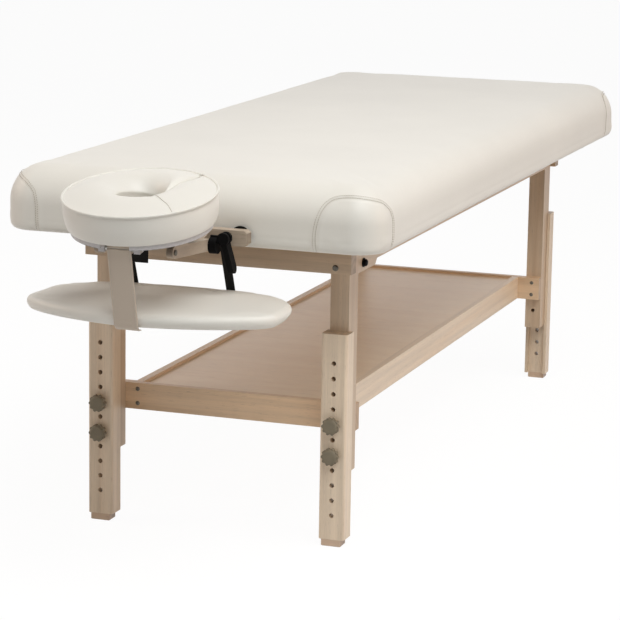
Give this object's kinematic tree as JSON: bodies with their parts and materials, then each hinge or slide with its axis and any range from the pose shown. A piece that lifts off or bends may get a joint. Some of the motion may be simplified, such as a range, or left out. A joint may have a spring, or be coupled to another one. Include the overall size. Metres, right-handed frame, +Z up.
{
  "type": "stationary massage table",
  "caption": "Padded wooden massage table with telescoping legs, a storage shelf, a tilting face cradle and a hanging armrest.",
  "frame": {"origin": "on the floor, under the centre of the whole outline with the cradle in place", "axes": "+X across the table to its right seen from the head end, +Y along the table from the head end to the foot end, +Z up"},
  "size_m": [0.728, 2.1828, 0.7185],
  "materials": {
    "vinyl": "smooth upholstery vinyl, satin",
    "band_vinyl": "stitched upholstery vinyl, satin",
    "maple": "clear lacquered light hardwood, satin",
    "plywood": "clear lacquered plywood, satin",
    "pine": "planed softwood, unfinished",
    "dark_ply": "black stained plywood, satin",
    "black_plastic": "moulded black plastic",
    "knob_plastic": "moulded taupe plastic",
    "foot_rubber": "moulded brown-grey rubber",
    "steel": "zinc plated steel",
    "webbing": "woven webbing"
  },
  "bodies": {
    "table": {"cushion_top": "vinyl", "deck_panel": "plywood", "deck_frame": "pine", "deck_bearers": "pine", "apron_head": "maple", "apron_foot": "maple", "apron_left": "maple", "apron_right": "maple", "apron_bolts": "steel", "leg_bolt_caps": "black_plastic", "upper_leg_head_left": "maple", "upper_leg_head_right": "maple", "upper_leg_foot_left": "maple", "upper_leg_foot_right": "maple", "threaded_inserts": "steel", "shelf_panel": "plywood", "shelf_rail_head": "maple", "shelf_rail_foot": "maple", "shelf_rail_left": "maple", "shelf_rail_right": "maple", "shelf_screws": "steel", "cradle_sockets": "black_plastic"},
    "leg_head_left": {"lower_leg_head_left": "maple", "foot_head_left": "foot_rubber"},
    "knob_head_left_low": {"knob_head_left_low": "knob_plastic", "stud_head_left_low": "steel"},
    "knob_head_left_high": {"knob_head_left_high": "knob_plastic", "stud_head_left_high": "steel"},
    "leg_head_right": {"lower_leg_head_right": "maple", "foot_head_right": "foot_rubber"},
    "knob_head_right_low": {"knob_head_right_low": "knob_plastic", "stud_head_right_low": "steel"},
    "knob_head_right_high": {"knob_head_right_high": "knob_plastic", "stud_head_right_high": "steel"},
    "leg_foot_left": {"lower_leg_foot_left": "maple", "foot_foot_left": "foot_rubber"},
    "knob_foot_left_low": {"knob_foot_left_low": "knob_plastic", "stud_foot_left_low": "steel"},
    "knob_foot_left_high": {"knob_foot_left_high": "knob_plastic", "stud_foot_left_high": "steel"},
    "leg_foot_right": {"lower_leg_foot_right": "maple", "foot_foot_right": "foot_rubber"},
    "knob_foot_right_low": {"knob_foot_right_low": "knob_plastic", "stud_foot_right_low": "steel"},
    "knob_foot_right_high": {"knob_foot_right_high": "knob_plastic", "stud_foot_right_high": "steel"},
    "cradle_base": {"cradle_crossbar": "maple", "cradle_dowels": "maple", "tilt_rod": "black_plastic", "armrest_straps": "webbing"},
    "cradle_head": {"cradle_arm_left": "maple", "cradle_arm_right": "maple", "arm_bolts": "steel", "cradle_plate": "dark_ply", "face_pillow": "vinyl", "front_rod": "steel"},
    "cam": {"cam_lever": "black_plastic"},
    "armrest": {"armrest_board": "plywood", "armrest_pad": "vinyl"},
    "band": {"armrest_band": "band_vinyl"}
  },
  "joints": [
    {"name": "leg_head_left_height", "type": "slide", "parent": "table", "child": "leg_head_left", "axis": [0, 0, 1], "range_m": [-0.0858, 0.0858]},
    {"name": "knob_head_left_low_turn", "type": "hinge", "parent": "table", "child": "knob_head_left_low", "pos_m": [-0.231, -0.60444, 0.173], "axis": [0, -1, 0], "continuous": true},
    {"name": "knob_head_left_high_turn", "type": "hinge", "parent": "table", "child": "knob_head_left_high", "pos_m": [-0.231, -0.60444, 0.2302], "axis": [0, -1, 0], "continuous": true},
    {"name": "leg_head_right_height", "type": "slide", "parent": "table", "child": "leg_head_right", "axis": [0, 0, 1], "range_m": [-0.0858, 0.0858]},
    {"name": "knob_head_right_low_turn", "type": "hinge", "parent": "table", "child": "knob_head_right_low", "pos_m": [0.231, -0.60444, 0.173], "axis": [0, -1, 0], "continuous": true},
    {"name": "knob_head_right_high_turn", "type": "hinge", "parent": "table", "child": "knob_head_right_high", "pos_m": [0.231, -0.60444, 0.2302], "axis": [0, -1, 0], "continuous": true},
    {"name": "leg_foot_left_height", "type": "slide", "parent": "table", "child": "leg_foot_left", "axis": [0, 0, 1], "range_m": [-0.0858, 0.0858]},
    {"name": "knob_foot_left_low_turn", "type": "hinge", "parent": "table", "child": "knob_foot_left_low", "pos_m": [-0.231, 0.93356, 0.173], "axis": [0, 1, 0], "continuous": true},
    {"name": "knob_foot_left_high_turn", "type": "hinge", "parent": "table", "child": "knob_foot_left_high", "pos_m": [-0.231, 0.93356, 0.2302], "axis": [0, 1, 0], "continuous": true},
    {"name": "leg_foot_right_height", "type": "slide", "parent": "table", "child": "leg_foot_right", "axis": [0, 0, 1], "range_m": [-0.0858, 0.0858]},
    {"name": "knob_foot_right_low_turn", "type": "hinge", "parent": "table", "child": "knob_foot_right_low", "pos_m": [0.231, 0.93356, 0.173], "axis": [0, 1, 0], "continuous": true},
    {"name": "knob_foot_right_high_turn", "type": "hinge", "parent": "table", "child": "knob_foot_right_high", "pos_m": [0.231, 0.93356, 0.2302], "axis": [0, 1, 0], "continuous": true},
    {"name": "cradle_slide", "type": "slide", "parent": "table", "child": "cradle_base", "axis": [0, -1, 0], "range_m": [0, 0.11]},
    {"name": "cradle_tilt", "type": "hinge", "parent": "cradle_base", "child": "cradle_head", "pos_m": [0, -0.81444, 0.5855], "axis": [1, 0, 0], "range_deg": [-15, 12]},
    {"name": "cam_lever_swing", "type": "hinge", "parent": "cradle_base", "child": "cam", "pos_m": [0.0978, -0.81444, 0.5985], "axis": [0, -1, 0], "range_deg": [0, 100]},
    {"name": "armrest_swing", "type": "hinge", "parent": "cradle_base", "child": "armrest", "pos_m": [0, -0.74396, 0.48164], "axis": [1, 0, 0], "range_deg": [-12.92, 10.33]},
    {"name": "band_swing", "type": "hinge", "parent": "cradle_head", "child": "band", "pos_m": [0, -1.04046, 0.61014], "axis": [1, 0, 0], "range_deg": [-9.78, 12.22]}
  ],
  "couplings": [
    {"joint": "armrest_swing", "follows": "cradle_tilt", "ratio": 0.8442},
    {"joint": "band_swing", "follows": "cradle_tilt", "ratio": -0.799}
  ]
}
